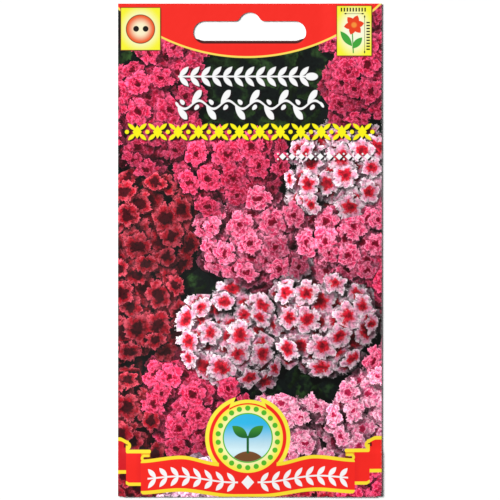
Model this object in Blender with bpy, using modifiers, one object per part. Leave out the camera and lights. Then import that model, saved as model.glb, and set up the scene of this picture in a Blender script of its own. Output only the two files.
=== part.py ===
"""Paper seed packet with a hang slot, lying on its back with the printed face up.

The envelope is one sheet. Its net is a flat grid of strips, and folded_place() carries each grid point
to where it lies once the sheet is folded and glued. Sizes are in metres. The origin is under the middle
of the packet at the level it rests on, +X is to the right of the printed face and +Y towards its slot.
"""

import math
import random

import bmesh
import bpy

# Envelope
WIDTH = 0.0750
HEIGHT = 0.1400
PAPER = 0.00012
LAYER_GAP = 0.00010
LAYER = PAPER + LAYER_GAP
FOLD_SEGMENTS = 6
EDGE_INSET = 0.0005  # a panel's cut edge stops this far short of the fold beside it
SIDE_FLAP = 0.0120  # width of the flap folded in behind the right edge
BOTTOM_FLAP = 0.0120  # height of the flap folded behind the bottom edge
FLAP_INSET = 0.0015  # the bottom flap is cut this much narrower at each side
FLAP_TAPER = 0.0040  # a flap's free edge is shorter than its fold by this much at each end
SIDE_STEP = 0.0055  # width over which the front climbs onto the side flap
BOTTOM_STEP = 0.0015  # length over which the back climbs onto the bottom flap

# Pillow of the filled pocket
PILLOW = 0.0025
PILLOW_FADE = 1.8  # a higher power keeps the swell nearer the bottom edge
HEADER = 0.0280  # the flat top that carries the slot

# Hang slot, a bar with round ends and a domed peak
SLOT_WIDTH = 0.0320
SLOT_BAR = 0.0064
SLOT_BELOW_TOP = 0.0082  # from the top edge to the middle of the bar
PEAK_RISE = 0.0025
PEAK_RADIUS = 0.0032
SHOULDER_RADIUS = 0.0015
CUTTER_HALF_DEPTH = 0.0010

# Glue
GLUE = 0.00005
GLUE_CLEARANCE = 0.000025
GLUE_INSET = 0.0015  # from a flap's edge to the glue under it
TOP_SEAL_BELOW_TOP = 0.0130
TOP_SEAL_HEIGHT = 0.0040

# Seeds
SEED_LENGTH = 0.0025
SEED_BREADTH = 0.0022
SEED_THICKNESS = 0.0006
SEED_PITCH = 0.0020
SEED_TOP_SHARE = 0.75  # a seed's upper face is this much of its lower face
SEED_CLEARANCE = 0.00005
SEED_TILT = math.radians(5)
SEED_JITTER = 0.0001
HEAP_LENGTH = 0.0270
HEAP_BREADTH = 0.0120
HEAP_ABOVE_BOTTOM = 0.0215
RANDOM_SEED = 5

LEFT = -WIDTH / 2
RIGHT = WIDTH / 2
BOTTOM = -HEIGHT / 2
TOP = HEIGHT / 2
FOLD_RADIUS = (2 * PAPER + LAYER_GAP) / 2  # of the outer face round one layer gap
FLAP_EDGE_X = RIGHT - SIDE_FLAP
STEP_HEAD_X = FLAP_EDGE_X - EDGE_INSET
STEP_FOOT_X = STEP_HEAD_X - SIDE_STEP
FLAP_EDGE_Y = BOTTOM + BOTTOM_FLAP
STEP_HEAD_Y = FLAP_EDGE_Y + EDGE_INSET
STEP_FOOT_Y = STEP_HEAD_Y + BOTTOM_STEP
POCKET_BOTTOM = BOTTOM + EDGE_INSET
POCKET_TOP = TOP - HEADER


def spaced(start, stop, steps):
    """Evenly spaced values from start to stop, both included."""
    return [start + (stop - start) * i / steps for i in range(steps + 1)]


def ramp(value, foot, head):
    """0 at the foot, 1 at the head, and straight between them."""
    return min(max((value - foot) / (head - foot), 0.0), 1.0)


def stack_lift(y):
    """Height of the back's outer face: it climbs onto the bottom flap near the bottom edge."""
    return LAYER * ramp(y, STEP_FOOT_Y, STEP_HEAD_Y)


def front_height(x, y):
    """Height of the front's outer face, flat over its layers plus the pillow of the pocket."""
    layers = 2 * PAPER + LAYER_GAP + LAYER * ramp(x, STEP_FOOT_X, STEP_HEAD_X)
    across = math.cos(math.pi / 2 * min(abs(x) / (RIGHT - FOLD_RADIUS), 1.0))
    up = ramp(y, POCKET_BOTTOM, POCKET_TOP)
    fullest = 1 / (1 + PILLOW_FADE)
    swell = up * (1 - up) ** PILLOW_FADE / (fullest * (1 - fullest) ** PILLOW_FADE)
    return stack_lift(y) + layers + PILLOW * across * swell


def bottom_radius(x):
    """Outer radius of the bottom fold, which goes round every layer that lies there."""
    return front_height(x, BOTTOM) / 2


def net_columns():
    """Grid lines across the net, from the back's cut edge round to the side flap's free edge."""
    turns = spaced(0.0, math.pi, FOLD_SEGMENTS)[1:-1]
    inner = RIGHT - FOLD_RADIUS
    back = spaced(RIGHT - EDGE_INSET, -inner, 10)
    inset = RIGHT - FLAP_INSET
    front = [-inner, *spaced(-inset, STEP_FOOT_X, 14), *spaced(STEP_HEAD_X, inset, 3), inner]
    flap = [inner, (inner + FLAP_EDGE_X) / 2, FLAP_EDGE_X]
    return (
        [("back", x) for x in back]
        + [("left fold", turn) for turn in turns]
        + [("front", x) for x in front]
        + [("right fold", turn) for turn in turns]
        + [("side flap", x) for x in flap]
    )


def net_rows():
    """Grid lines up the net, from the bottom flap's free edge to the top edge."""
    turns = spaced(math.pi, 0.0, FOLD_SEGMENTS)[:-1]
    panel = spaced(BOTTOM, STEP_HEAD_Y, 3) + spaced(STEP_FOOT_Y, POCKET_TOP, 16) + [TOP]
    return (
        [("bottom flap", FLAP_EDGE_Y)]
        + [("bottom fold", turn) for turn in turns]
        + [("panel", y) for y in panel]
    )


def tapered(value, half_length, share):
    """Draws the last stretch of a flap's length in, by up to FLAP_TAPER at its free edge."""
    stretch = 2 * FLAP_TAPER
    past = max(abs(value) - (half_length - stretch), 0.0)
    return math.copysign(abs(value) - past * share * FLAP_TAPER / stretch, value)


def folded_place(column, row):
    """Where one grid point of the net lies on the folded sheet's outer face."""
    strip, across = column
    band, along = row
    if strip == "front":
        radius = bottom_radius(across)
        if band == "bottom flap":
            return tapered(across, RIGHT - FLAP_INSET, 1.0), along, 0.0
        if band == "bottom fold":
            y = BOTTOM + radius * (1 - math.sin(along))
            return across, y, radius * (1 + math.cos(along))
        y = max(along, BOTTOM + radius)
        return across, y, front_height(across, y)
    y = max(along, BOTTOM + EDGE_INSET) if band == "panel" else BOTTOM
    lift = stack_lift(y)
    if strip == "back":
        return across, y, lift
    if strip == "left fold":
        x = LEFT + FOLD_RADIUS * (1 - math.sin(across))
        return x, y, lift + FOLD_RADIUS * (1 - math.cos(across))
    if strip == "right fold":
        x = RIGHT - FOLD_RADIUS * (1 - math.sin(across))
        return x, y, lift + LAYER + FOLD_RADIUS * (1 + math.cos(across))
    share = (RIGHT - across) / SIDE_FLAP
    return across, tapered(y, TOP, share), lift + LAYER


def linked_object(name, mesh, collection):
    """A new object for a mesh, in a collection."""
    thing = bpy.data.objects.new(name, mesh)
    collection.objects.link(thing)
    return thing


def grid_object(name, columns, rows, place, keep, thickness, collection):
    """A grid of points carried to their places, with its unwanted squares cut off, made thick inward."""
    mesh = bpy.data.meshes.new(name)
    bm = bmesh.new()
    wide = len(columns) - 1
    high = len(rows) - 1
    bmesh.ops.create_grid(bm, x_segments=wide, y_segments=high, size=1.0)
    spot = {v: (round((v.co.x + 1) / 2 * wide), round((v.co.y + 1) / 2 * high)) for v in bm.verts}
    corner = {f: min(spot[v] for v in f.verts) for f in bm.faces}
    cut_off = [face for face, (i, j) in corner.items() if not keep(i, j)]
    for vertex, (i, j) in spot.items():
        vertex.co = place(columns[i], rows[j])
    bmesh.ops.delete(bm, geom=cut_off, context="FACES")
    bm.to_mesh(mesh)
    bm.free()
    sheet = linked_object(name, mesh, collection)
    solidify = sheet.modifiers.new("Thickness", "SOLIDIFY")
    solidify.thickness = thickness
    solidify.offset = -1
    solidify.use_even_offset = True
    return sheet


def envelope_object(collection):
    """The whole folded sheet, before the slot is punched."""
    columns = net_columns()
    rows = net_rows()
    front = [i for i, (strip, _) in enumerate(columns) if strip == "front"]
    panel = [j for j, (band, _) in enumerate(rows) if band == "panel"]

    def keep(i, j):
        """The bottom flap hangs only from the front, a little inside its two sides."""
        return j >= panel[0] or front[0] < i < front[-1] - 1

    return grid_object("paper_envelope", columns, rows, folded_place, keep, PAPER, collection)


def arc(centre_x, centre_y, radius, start, stop, steps):
    """Points along an arc, with angles in degrees."""
    angles = [math.radians(a) for a in spaced(start, stop, steps)]
    return [(centre_x + radius * math.cos(a), centre_y + radius * math.sin(a)) for a in angles]


def slot_outline():
    """The slot's edge: round bar ends, and a domed peak with hollow shoulders."""
    end = SLOT_BAR / 2
    middle = TOP - SLOT_BELOW_TOP
    bar_top = middle + end
    dome_y = bar_top + PEAK_RISE - PEAK_RADIUS
    shoulder_y = bar_top + SHOULDER_RADIUS
    reach = PEAK_RADIUS + SHOULDER_RADIUS
    rise = shoulder_y - dome_y
    shoulder_x = math.sqrt(reach**2 - rise**2)
    lean = math.degrees(math.atan2(rise, shoulder_x))
    end_x = SLOT_WIDTH / 2 - end
    right_end = arc(end_x, middle, end, -90, 90, 12)
    right_shoulder = arc(shoulder_x, shoulder_y, SHOULDER_RADIUS, 270, 180 + lean, 4)
    dome = arc(0, dome_y, PEAK_RADIUS, lean, 180 - lean, 10)
    left_shoulder = arc(-shoulder_x, shoulder_y, SHOULDER_RADIUS, 360 - lean, 270, 4)
    left_end = arc(-end_x, middle, end, 90, 270, 12)
    return right_end + right_shoulder + dome[1:-1] + left_shoulder + left_end


def slot_cutter(collection):
    """A closed prism of the slot's outline that passes through every layer of the header."""
    outline = slot_outline()
    curve = bpy.data.curves.new("hang_slot_outline", "CURVE")
    curve.dimensions = "2D"
    curve.fill_mode = "BOTH"
    curve.extrude = CUTTER_HALF_DEPTH
    spline = curve.splines.new("POLY")
    spline.points.add(len(outline) - 1)
    for point, (x, y) in zip(spline.points, outline):
        point.co = (x, y, 0.0, 1.0)
    spline.use_cyclic_u = True
    drawn = linked_object("hang_slot_outline", curve, collection)
    bpy.context.view_layer.update()
    evaluated = drawn.evaluated_get(bpy.context.evaluated_depsgraph_get())
    mesh = bpy.data.meshes.new_from_object(evaluated)
    bpy.data.objects.remove(drawn)
    bm = bmesh.new()
    bm.from_mesh(mesh)
    bmesh.ops.remove_doubles(bm, verts=bm.verts, dist=1e-6)
    bmesh.ops.recalc_face_normals(bm, faces=bm.faces)
    bm.to_mesh(mesh)
    bm.free()
    cutter = linked_object("hang_slot_cutter", mesh, collection)
    cutter.display_type = "WIRE"
    cutter.hide_render = True
    return cutter


def punch(sheet, cutter):
    """Cuts the slot through the sheet's front and back."""
    cut = sheet.modifiers.new("Hang slot", "BOOLEAN")
    cut.operation = "DIFFERENCE"
    cut.object = cutter
    cut.solver = "EXACT"


def glue_object(name, columns, rows, top, collection):
    """A thin strip of glue whose upper face is at the height top(x, y)."""

    def place(x, y):
        return x, y, top(x, y)

    return grid_object(name, columns, rows, place, lambda i, j: True, GLUE, collection)


def glue_objects(collection):
    """The three glue lines, each between the two layers it joins."""
    above = PAPER + GLUE_CLEARANCE + GLUE
    seam = glue_object(
        "side_seam_glue",
        [FLAP_EDGE_X + GLUE_INSET, RIGHT - GLUE_INSET],
        [BOTTOM + FLAP_TAPER, STEP_HEAD_Y, STEP_FOOT_Y, TOP - FLAP_TAPER],
        lambda x, y: stack_lift(y) + above,
        collection,
    )
    bottom = glue_object(
        "bottom_seam_glue",
        [LEFT + 2 * FLAP_TAPER, RIGHT - 2 * FLAP_TAPER],
        [BOTTOM + GLUE_INSET, FLAP_EDGE_Y - GLUE_INSET],
        lambda x, y: above,
        collection,
    )
    seal_top = TOP - TOP_SEAL_BELOW_TOP
    top_seal = glue_object(
        "top_seal_glue",
        [LEFT + GLUE_INSET, STEP_FOOT_X, STEP_HEAD_X, RIGHT - GLUE_INSET],
        [seal_top - TOP_SEAL_HEIGHT, seal_top],
        lambda x, y: front_height(x, y) - PAPER - GLUE_CLEARANCE,
        collection,
    )
    return [seam, bottom, top_seal]


def heap_places():
    """Seed places on a jittered hexagonal grid inside the heap's oval, close enough to touch."""
    middle_y = BOTTOM + HEAP_ABOVE_BOTTOM
    row_pitch = SEED_PITCH * math.sqrt(3) / 2
    rows = int(HEAP_BREADTH / 2 / row_pitch)
    seats = int(HEAP_LENGTH / 2 / SEED_PITCH) + 1
    places = []
    for row in range(-rows, rows + 1):
        for seat in range(-seats, seats + 1):
            x = (seat + 0.5 * (row % 2)) * SEED_PITCH
            y = row * row_pitch
            if math.hypot(2 * x / HEAP_LENGTH, 2 * y / HEAP_BREADTH) <= 1:
                places.append((x, middle_y + y))
    return places


def seeds_object(collection):
    """Flat oval seeds, each at its own angle, fused where they touch."""
    chance = random.Random(RANDOM_SEED)
    mesh = bpy.data.meshes.new("seed")
    bm = bmesh.new()
    bmesh.ops.create_cone(
        bm, cap_ends=True, segments=7, radius1=0.5, radius2=0.5 * SEED_TOP_SHARE, depth=1.0
    )
    bmesh.ops.scale(bm, vec=(SEED_LENGTH, SEED_BREADTH, SEED_THICKNESS), verts=bm.verts)
    bm.to_mesh(mesh)
    bm.free()
    tilt_room = SEED_LENGTH / 2 * math.sin(SEED_TILT)
    middle = PAPER + SEED_CLEARANCE + SEED_THICKNESS / 2 + tilt_room
    loose = bpy.data.collections.new("loose seeds")
    bpy.context.scene.collection.children.link(loose)
    for number, (x, y) in enumerate(heap_places()):
        seed = linked_object(f"seed_{number:02d}", mesh, loose)
        jitter_x = chance.uniform(-SEED_JITTER, SEED_JITTER)
        jitter_y = chance.uniform(-SEED_JITTER, SEED_JITTER)
        seed.location = (x + jitter_x, y + jitter_y, middle)
        seed.rotation_euler = (
            chance.uniform(-SEED_TILT, SEED_TILT),
            chance.uniform(-SEED_TILT, SEED_TILT),
            chance.uniform(0, math.pi),
        )
    first = loose.objects[0]
    loose.objects.unlink(first)
    collection.objects.link(first)
    union = first.modifiers.new("Fuse", "BOOLEAN")
    union.operation = "UNION"
    union.operand_type = "COLLECTION"
    union.collection = loose
    union.solver = "EXACT"
    bpy.context.view_layer.update()
    evaluated = first.evaluated_get(bpy.context.evaluated_depsgraph_get())
    fused = bpy.data.meshes.new_from_object(evaluated)
    seeds = linked_object("seeds", fused, collection)
    seeds.matrix_world = first.matrix_world
    for seed in [first, *loose.objects]:
        bpy.data.objects.remove(seed)
    bpy.data.collections.remove(loose)
    return seeds


def coat(thing, name, colour, roughness):
    """Gives an object its own Principled material."""
    material = bpy.data.materials.new(name)
    material.use_nodes = True
    shader = material.node_tree.nodes["Principled BSDF"]
    shader.inputs["Base Color"].default_value = (*colour, 1.0)
    shader.inputs["Roughness"].default_value = roughness
    shader.inputs["Metallic"].default_value = 0.0
    thing.data.materials.clear()
    thing.data.materials.append(material)


def build():
    """Empties the scene and makes the packet."""
    for thing in list(bpy.data.objects):
        bpy.data.objects.remove(thing)
    packet = bpy.data.collections.new("seed packet")
    cutters = bpy.data.collections.new("cutters")
    bpy.context.scene.collection.children.link(packet)
    bpy.context.scene.collection.children.link(cutters)
    envelope = envelope_object(packet)
    punch(envelope, slot_cutter(cutters))
    coat(envelope, "glossy printed paper", (0.55, 0.06, 0.10), 0.35)
    for glue in glue_objects(packet):
        coat(glue, "dried paper glue", (0.80, 0.76, 0.62), 0.45)
    coat(seeds_object(packet), "black seed coat", (0.025, 0.022, 0.020), 0.70)


build()
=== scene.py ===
"""A glossy paper seed packet with a hang slot, lying on its back on a white table."""

import math
import random

import bpy
import numpy as np
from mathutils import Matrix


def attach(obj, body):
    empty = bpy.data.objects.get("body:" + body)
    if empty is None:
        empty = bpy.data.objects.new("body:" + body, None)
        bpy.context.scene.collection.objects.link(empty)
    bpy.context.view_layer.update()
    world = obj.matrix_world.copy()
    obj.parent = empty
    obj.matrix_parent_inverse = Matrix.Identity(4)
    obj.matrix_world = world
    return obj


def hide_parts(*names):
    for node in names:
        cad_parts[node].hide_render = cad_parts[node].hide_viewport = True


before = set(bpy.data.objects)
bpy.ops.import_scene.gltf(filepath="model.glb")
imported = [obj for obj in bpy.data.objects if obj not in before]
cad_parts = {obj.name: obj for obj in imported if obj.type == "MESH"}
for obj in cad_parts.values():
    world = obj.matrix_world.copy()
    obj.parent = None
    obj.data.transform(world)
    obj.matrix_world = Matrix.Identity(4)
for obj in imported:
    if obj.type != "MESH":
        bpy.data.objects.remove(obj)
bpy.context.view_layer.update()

# The folded sheet
# One sheet of coated paper makes the front, the back and two glue flaps. It is creased at the left, right
# and bottom edges, and its front swells over the seeds. A point of the sheet is known by its place on the
# flat sheet: u across and v up from the middle of the front, in metres.
WIDTH = 0.0750
HEIGHT = 0.1400
PAPER = 0.00012
LAYER = 0.00022  # one paper and the gap to the next
FOLD = 0.00017  # outer radius of a fold round two papers
INSET = 0.0005
FLAP = 0.0120
FLAP_INSET = 0.0015
FLAP_TAPER = 0.0040
SIDE_STEP = 0.0055
BOTTOM_STEP = 0.0015
PILLOW = 0.0025
PILLOW_FADE = 1.8
HEADER = 0.0280
RIPPLE = 0.00011
RIPPLES_FULL = (-0.052, 0.014)  # heights between which they have their full depth
BUCKLE = 0.0021  # wavelength of the side folds' buckles, over 2 pi
BUCKLE_REACH = 0.0075
SLANT = 0.0052  # wavelength of the pillow's slanting ripples, over 2 pi
BACK_LINES = 53  # the net's grid lines across the back panel
FRONT_LINES = 101
FOLD_LINES = 9  # round each fold, and up the bottom flap
SIDE_FLAP_LINES = 7
PANEL_LINES = 188  # up the panels

half_width = WIDTH / 2
half_height = HEIGHT / 2
crease = half_width - FOLD  # where the front ends and a side fold begins
round_fold = math.pi * FOLD
back_length = half_width - INSET + crease
back_middle = -2 * crease - round_fold  # the back panel's middle on the flat sheet


def rise(value, foot, head):
    """0 up to the foot, 1 from the head on, and a soft S between them."""
    share = np.clip((value - foot) / (head - foot), 0, 1)
    return share * share * (3 - 2 * share)


def lift(v):
    """How far the bottom flap lifts the back that lies on it."""
    head = -half_height + FLAP + INSET
    return LAYER * rise(v, head + BOTTOM_STEP, head)


def ripples(u, v):
    """Soft buckles: sines along the side folds that fade inwards, and a slanting sine over the pillow.

    They only ever push the paper in, and stop short of the folds and the header."""
    inward = crease - np.abs(u)
    along = np.sin(v / BUCKLE + 1.3 * np.sin(v / 0.0083) + np.where(u > 0, 2.2, 0.0))
    fade = (1 - np.exp(-inward / 0.002)) * np.exp(-inward / BUCKLE_REACH)
    slant = np.sin((u + 0.6 * v) / SLANT + 0.7 + np.sin(v / 0.013))
    fade_in = 1 - np.exp(-inward / 0.004)
    foot, head = RIPPLES_FULL
    pocket = rise(v, INSET - half_height, foot) * rise(v, half_height - HEADER, head)
    return RIPPLE * pocket * (1.5 * fade * (along - 1) + 0.5 * fade_in * (slant - 1))


def front_height(u, v):
    """Height of the front's outer face: its layers, the pillow over the seeds, and the ripples.

    The pillow is a cosine across, times s * (1 - s) ** fade upwards, with s from 0 at the bottom edge to
    1 under the header."""
    seam_head = half_width - FLAP - INSET
    layers = 2 * FOLD + LAYER * rise(u, seam_head - SIDE_STEP, seam_head)
    across = np.cos(np.pi / 2 * np.clip(np.abs(u) / crease, 0, 1))
    s = np.clip((v + half_height - INSET) / (HEIGHT - INSET - HEADER), 0, 1)
    fullest = 1 / (1 + PILLOW_FADE)
    swell = s * (1 - s) ** PILLOW_FADE / (fullest * (1 - fullest) ** PILLOW_FADE)
    return lift(v) + layers + PILLOW * across * swell + ripples(np.clip(u, -crease, crease), v)


def drawn_in(value, half_length, share):
    """Shortens a flap towards its free edge, over its last 8 mm at each end."""
    past = np.clip(np.abs(value) - (half_length - 2 * FLAP_TAPER), 0, None)
    return value - np.sign(value) * past * share / 2


def bottom_fold(u):
    """Outer radius of the bottom fold, which goes round every layer that lies there."""
    return front_height(u, np.full_like(u, -half_height)) / 2


def folded(u, v):
    """Where points of the flat sheet lie once it is folded.

    Past a crease the distance is first an angle round a half circle, and then a run back under the front.
    The bottom flap does the same with v."""
    side = np.where(u < 0, -1.0, 1.0)
    past_side = np.clip(np.abs(u) - crease, 0, None)
    turn = np.clip(past_side / FOLD, 0, np.pi)
    run = past_side - FOLD * turn
    y = drawn_in(v, half_height, np.where(u > 0, run / FLAP, 0))
    x = side * (np.minimum(np.abs(u), crease) + FOLD * np.sin(turn) - run)
    z = front_height(side * crease, v) - FOLD * (1 - np.cos(turn))
    low = bottom_fold(u)
    past_bottom = np.clip(low - half_height - v, 0, None)
    dip = np.clip(past_bottom / low, 0, np.pi)
    flap_run = past_bottom - low * dip
    front_y = np.maximum(v, low - half_height) - low * np.sin(dip) + flap_run
    front_x = drawn_in(u, half_width - FLAP_INSET, flap_run / FLAP)
    front_z = front_height(u, np.maximum(v, low - half_height)) - low * (1 - np.cos(dip))
    aside = past_side > 0
    places = [np.where(aside, x, front_x), np.where(aside, y, front_y), np.where(aside, z, front_z)]
    return np.stack(places, axis=-1)


def facing(u, v):
    """Unit vectors out of the printed face, from small steps along u and v."""
    step = 2e-6
    along_u = folded(u + step, v) - folded(u - step, v)
    along_v = folded(u, v + step) - folded(u, v - step)
    normal = np.cross(along_u, along_v)
    return normal / np.linalg.norm(normal, axis=-1, keepdims=True)


def net_lines():
    """Grid lines of the flat sheet: u from the back's free edge to the side flap's, and v up the panels."""
    folded_back = crease + round_fold
    u = [
        np.linspace(-folded_back - back_length, -folded_back, BACK_LINES)[:-1],
        np.linspace(-folded_back, -crease, FOLD_LINES)[:-1],
        np.linspace(-crease, crease, FRONT_LINES)[:-1],
        np.linspace(crease, folded_back, FOLD_LINES)[:-1],
        np.linspace(folded_back, -back_middle - (half_width - FLAP), SIDE_FLAP_LINES),
    ]
    return np.concatenate(u), np.linspace(-half_height, half_height, PANEL_LINES)


def net_grid():
    """Every u and v of the net, with rows below the panels for the bottom fold and flap.

    A panel row that would pass under the bottom edge is held at the edge."""
    u_line, v_line = net_lines()
    low = bottom_fold(u_line)
    edge = np.where(np.abs(u_line) <= crease, low - half_height, INSET - half_height)
    panel = np.maximum(v_line[:, None], edge[None, :])
    turns = np.linspace(np.pi, 0, FOLD_LINES)[:-1, None]
    runs = np.linspace(1, 0, FOLD_LINES)[:-1, None]
    fold = low - half_height - low * turns
    flap = low - half_height - low * np.pi - runs * (FLAP - low)
    v = np.concatenate([flap, fold, panel])
    return np.broadcast_to(u_line, v.shape).copy(), v


# The hang slot
# A bar with round ends and a domed peak, punched through the front and the back in one stroke, so the cut
# edges show the paper's white core. The punch turned a thin lip of the front down along the slot's foot.
SLOT_WIDTH = 0.0320
SLOT_BAR = 0.0064
SLOT_BELOW_TOP = 0.0082
PEAK_RISE = 0.0025
PEAK_RADIUS = 0.0032
SHOULDER_RADIUS = 0.0015
SLOT_ROOM = (0.0187, 0.0560, 0.0693)  # half width, foot and head of the patch round the slot
SLOT_RINGS = 5
LIP = 0.00085  # how far the lip reaches up into the slot
LIP_DIP = 0.00018
LIP_ENDS = (0.0160, 0.0142)  # it fades out between these, to both sides

slot_end = SLOT_BAR / 2  # radius of the bar's ends
slot_middle = half_height - SLOT_BELOW_TOP


def arc(x, y, radius, start, stop):
    """Points round a circle, every 3 degrees or less, from one angle to another."""
    angle = np.radians(np.linspace(start, stop, int(abs(stop - start) / 3) + 2))
    return np.stack([x + radius * np.cos(angle), y + radius * np.sin(angle)], axis=-1)


def slot_edge(count):
    """Evenly spaced points round the slot, anticlockwise from the middle of its foot.

    The outline is arcs joined by straight runs, and the points are read off by its length."""
    dome_y = slot_middle + slot_end + PEAK_RISE - PEAK_RADIUS
    shoulder_y = slot_middle + slot_end + SHOULDER_RADIUS
    shoulder_x = math.sqrt((PEAK_RADIUS + SHOULDER_RADIUS) ** 2 - (shoulder_y - dome_y) ** 2)
    lean = math.degrees(math.atan2(shoulder_y - dome_y, shoulder_x))
    end_x = SLOT_WIDTH / 2 - slot_end
    foot = np.array([[0.0, slot_middle - slot_end]])
    runs = [
        foot,
        arc(end_x, slot_middle, slot_end, -90, 90),
        arc(shoulder_x, shoulder_y, SHOULDER_RADIUS, 270, 180 + lean),
        arc(0.0, dome_y, PEAK_RADIUS, lean, 180 - lean),
        arc(-shoulder_x, shoulder_y, SHOULDER_RADIUS, 360 - lean, 270),
        arc(-end_x, slot_middle, slot_end, 90, 270),
        foot,
    ]
    return evenly(np.concatenate(runs), count)


def evenly(line, count):
    """The same number of points at even steps along a closed line."""
    walked = np.concatenate([[0], np.cumsum(np.linalg.norm(np.diff(line, axis=0), axis=1))])
    at = np.linspace(0, walked[-1], count, endpoint=False)
    return np.stack([np.interp(at, walked, line[:, axis]) for axis in (0, 1)], axis=-1)


def lip_dip(u, v):
    """How far the lip is turned down: it grows with the square of the way into the slot."""
    aside = np.clip(np.abs(u) - (SLOT_WIDTH / 2 - slot_end), 0, None)
    inside = slot_end - np.hypot(aside, v - slot_middle)
    share = np.clip(inside / LIP, 0, 1) * rise(np.abs(u), *LIP_ENDS) * (v < slot_middle)
    return LIP_DIP * share * share


def panel_windows(u_line, v_line):
    """First and last grid lines of the squares that the slot's patch stands in for, on front and back."""
    half, foot, head = SLOT_ROOM
    rows = [int(np.abs(v_line - foot).argmin()), int(np.abs(v_line - head).argmin())]
    windows = []
    for middle in (back_middle, 0.0):
        columns = [int(np.abs(u_line - middle - side).argmin()) for side in (-half, half)]
        windows.append((*columns, *rows))
    return windows


def window_ring(left, right, foot, head, wide):
    """Numbers of the grid points round a window, anticlockwise from the middle of its foot."""
    lower = foot * wide + np.arange(left, right)
    rightward = np.arange(foot, head) * wide + right
    upper = head * wide + np.arange(right, left, -1)
    leftward = np.arange(head, foot, -1) * wide + left
    ring = np.concatenate([lower, rightward, upper, leftward])
    return np.roll(ring, -((right - left) // 2))


def paper_net():
    """Flat places and squares of the whole net, with the slot cut out of both panels.

    Between a window's ring and the slot's edge the points go in straight lines, in a few steps."""
    u, v = net_grid()
    u_line, v_line = net_lines()
    wide = len(u_line)
    below = len(v) - len(v_line)
    row, column = np.mgrid[0 : len(v) - 1, 0 : wide - 1]
    in_flap = (u_line[:-1] >= FLAP_INSET - half_width) & (u_line[1:] <= half_width - FLAP_INSET)
    kept = (row >= below) | in_flap[column]
    flat = np.stack([u.ravel(), v.ravel()], axis=-1)
    patches = []
    for left, right, foot, head in panel_windows(u_line, v_line):
        inside = (column >= left) & (column < right) & (row >= foot + below) & (row < head + below)
        kept &= ~inside
        ring = window_ring(left, right, foot + below, head + below, wide)
        middle = back_middle if left < BACK_LINES else 0.0
        edge = slot_edge(len(ring)) + [middle, 0.0]
        if middle == 0.0:
            below_middle = edge[:, 1] < slot_middle
            edge[:, 1] += LIP * below_middle * rise(np.abs(edge[:, 0]), *LIP_ENDS)
        steps = np.linspace(0, 1, SLOT_RINGS + 1)[1:, None, None]
        between = flat[ring] + steps * (edge - flat[ring])
        numbers = len(flat) + np.arange(SLOT_RINGS * len(ring)).reshape(SLOT_RINGS, -1)
        flat = np.concatenate([flat, between.reshape(-1, 2)])
        lines = np.concatenate([ring[None, :], numbers])
        here, after = lines, np.roll(lines, -1, axis=1)
        patches.append(np.stack([here[:-1], after[:-1], after[1:], here[1:]], axis=-1).reshape(-1, 4))
    first = (row * wide + column)[kept]
    squares = np.stack([first, first + 1, first + wide + 1, first + wide], axis=-1)
    return flat, np.concatenate([squares, *patches])


def without_strays(flat, quads):
    """The net with only the points that its squares use."""
    used, numbers = np.unique(quads, return_inverse=True)
    return flat[used], numbers.reshape(quads.shape)


def placed(name, data):
    """A new object that holds this mesh, lamp or camera, in the scene."""
    thing = bpy.data.objects.new(name, data)
    bpy.context.scene.collection.objects.link(thing)
    return thing


FRONT_SKIN = 0
BARE_SKIN = 1
BACK_SKIN = 2


def solid_paper(name):
    """The folded sheet as a closed skin: printed face, bare inner face, and the cut edges between them."""
    flat, outer = without_strays(*paper_net())
    count = len(flat)
    printed = folded(flat[:, 0], flat[:, 1])
    printed[:, 2] -= lip_dip(flat[:, 0], flat[:, 1])
    bare = printed - PAPER * facing(flat[:, 0], flat[:, 1])
    starts = outer.ravel()
    ends = np.roll(outer, -1, axis=1).ravel()
    cut = ~np.isin(starts * count + ends, ends * count + starts)
    start, end = starts[cut], ends[cut]
    rim = np.stack([end, start, start + count, end + count], axis=-1)
    quads = np.concatenate([outer, outer[:, ::-1] + count, rim])
    mesh = bpy.data.meshes.new(name)
    mesh.from_pydata(np.concatenate([printed, bare]), [], quads)
    place = mesh.uv_layers.new(name="flat sheet")
    corners = np.concatenate([flat, flat])[quads.ravel()]
    place.data.foreach_set("uv", corners.ravel())
    skin = np.full(len(quads), BARE_SKIN, dtype=np.int32)
    on_back = flat[outer].mean(axis=1)[:, 0] < -crease
    skin[: len(outer)] = np.where(on_back, BACK_SKIN, FRONT_SKIN)
    mesh.polygons.foreach_set("material_index", skin)
    mesh.polygons.foreach_set("use_smooth", np.ones(len(quads), dtype=bool))
    mesh.set_sharp_from_angle(angle=math.radians(40))
    return placed(name, mesh)


envelope = solid_paper("printed_envelope")
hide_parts("paper_envelope")
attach(envelope, "root")

# The inks
# Four-colour printing on coated paper. Patterns are drawn in millimetres on the flat sheet, with x across
# from the front's middle and y up, so they stay in register over the creases.
LAMPS = 1.22  # what the lamps below multiply a level white by
BLACK = (0.0, 0.0, 0.0, 1.0)


def ink_colour(red, green, blue):
    """The colour to lay on so that the lit paper shows this 8-bit screen colour."""
    levels = np.array([red, green, blue]) / 255
    light = np.where(levels < 0.04045, levels / 12.92, ((levels + 0.055) / 1.055) ** 2.4)
    return (*(light / LAMPS).tolist(), 1.0)


def operator(operation, reflected=False):
    """A method that adds one Math node, with its own value first, or last where it is reflected."""

    def method(self, *others):
        values = (*others, self) if reflected else (self, *others)
        return self.ink.maths(operation, *values)

    return method


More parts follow.
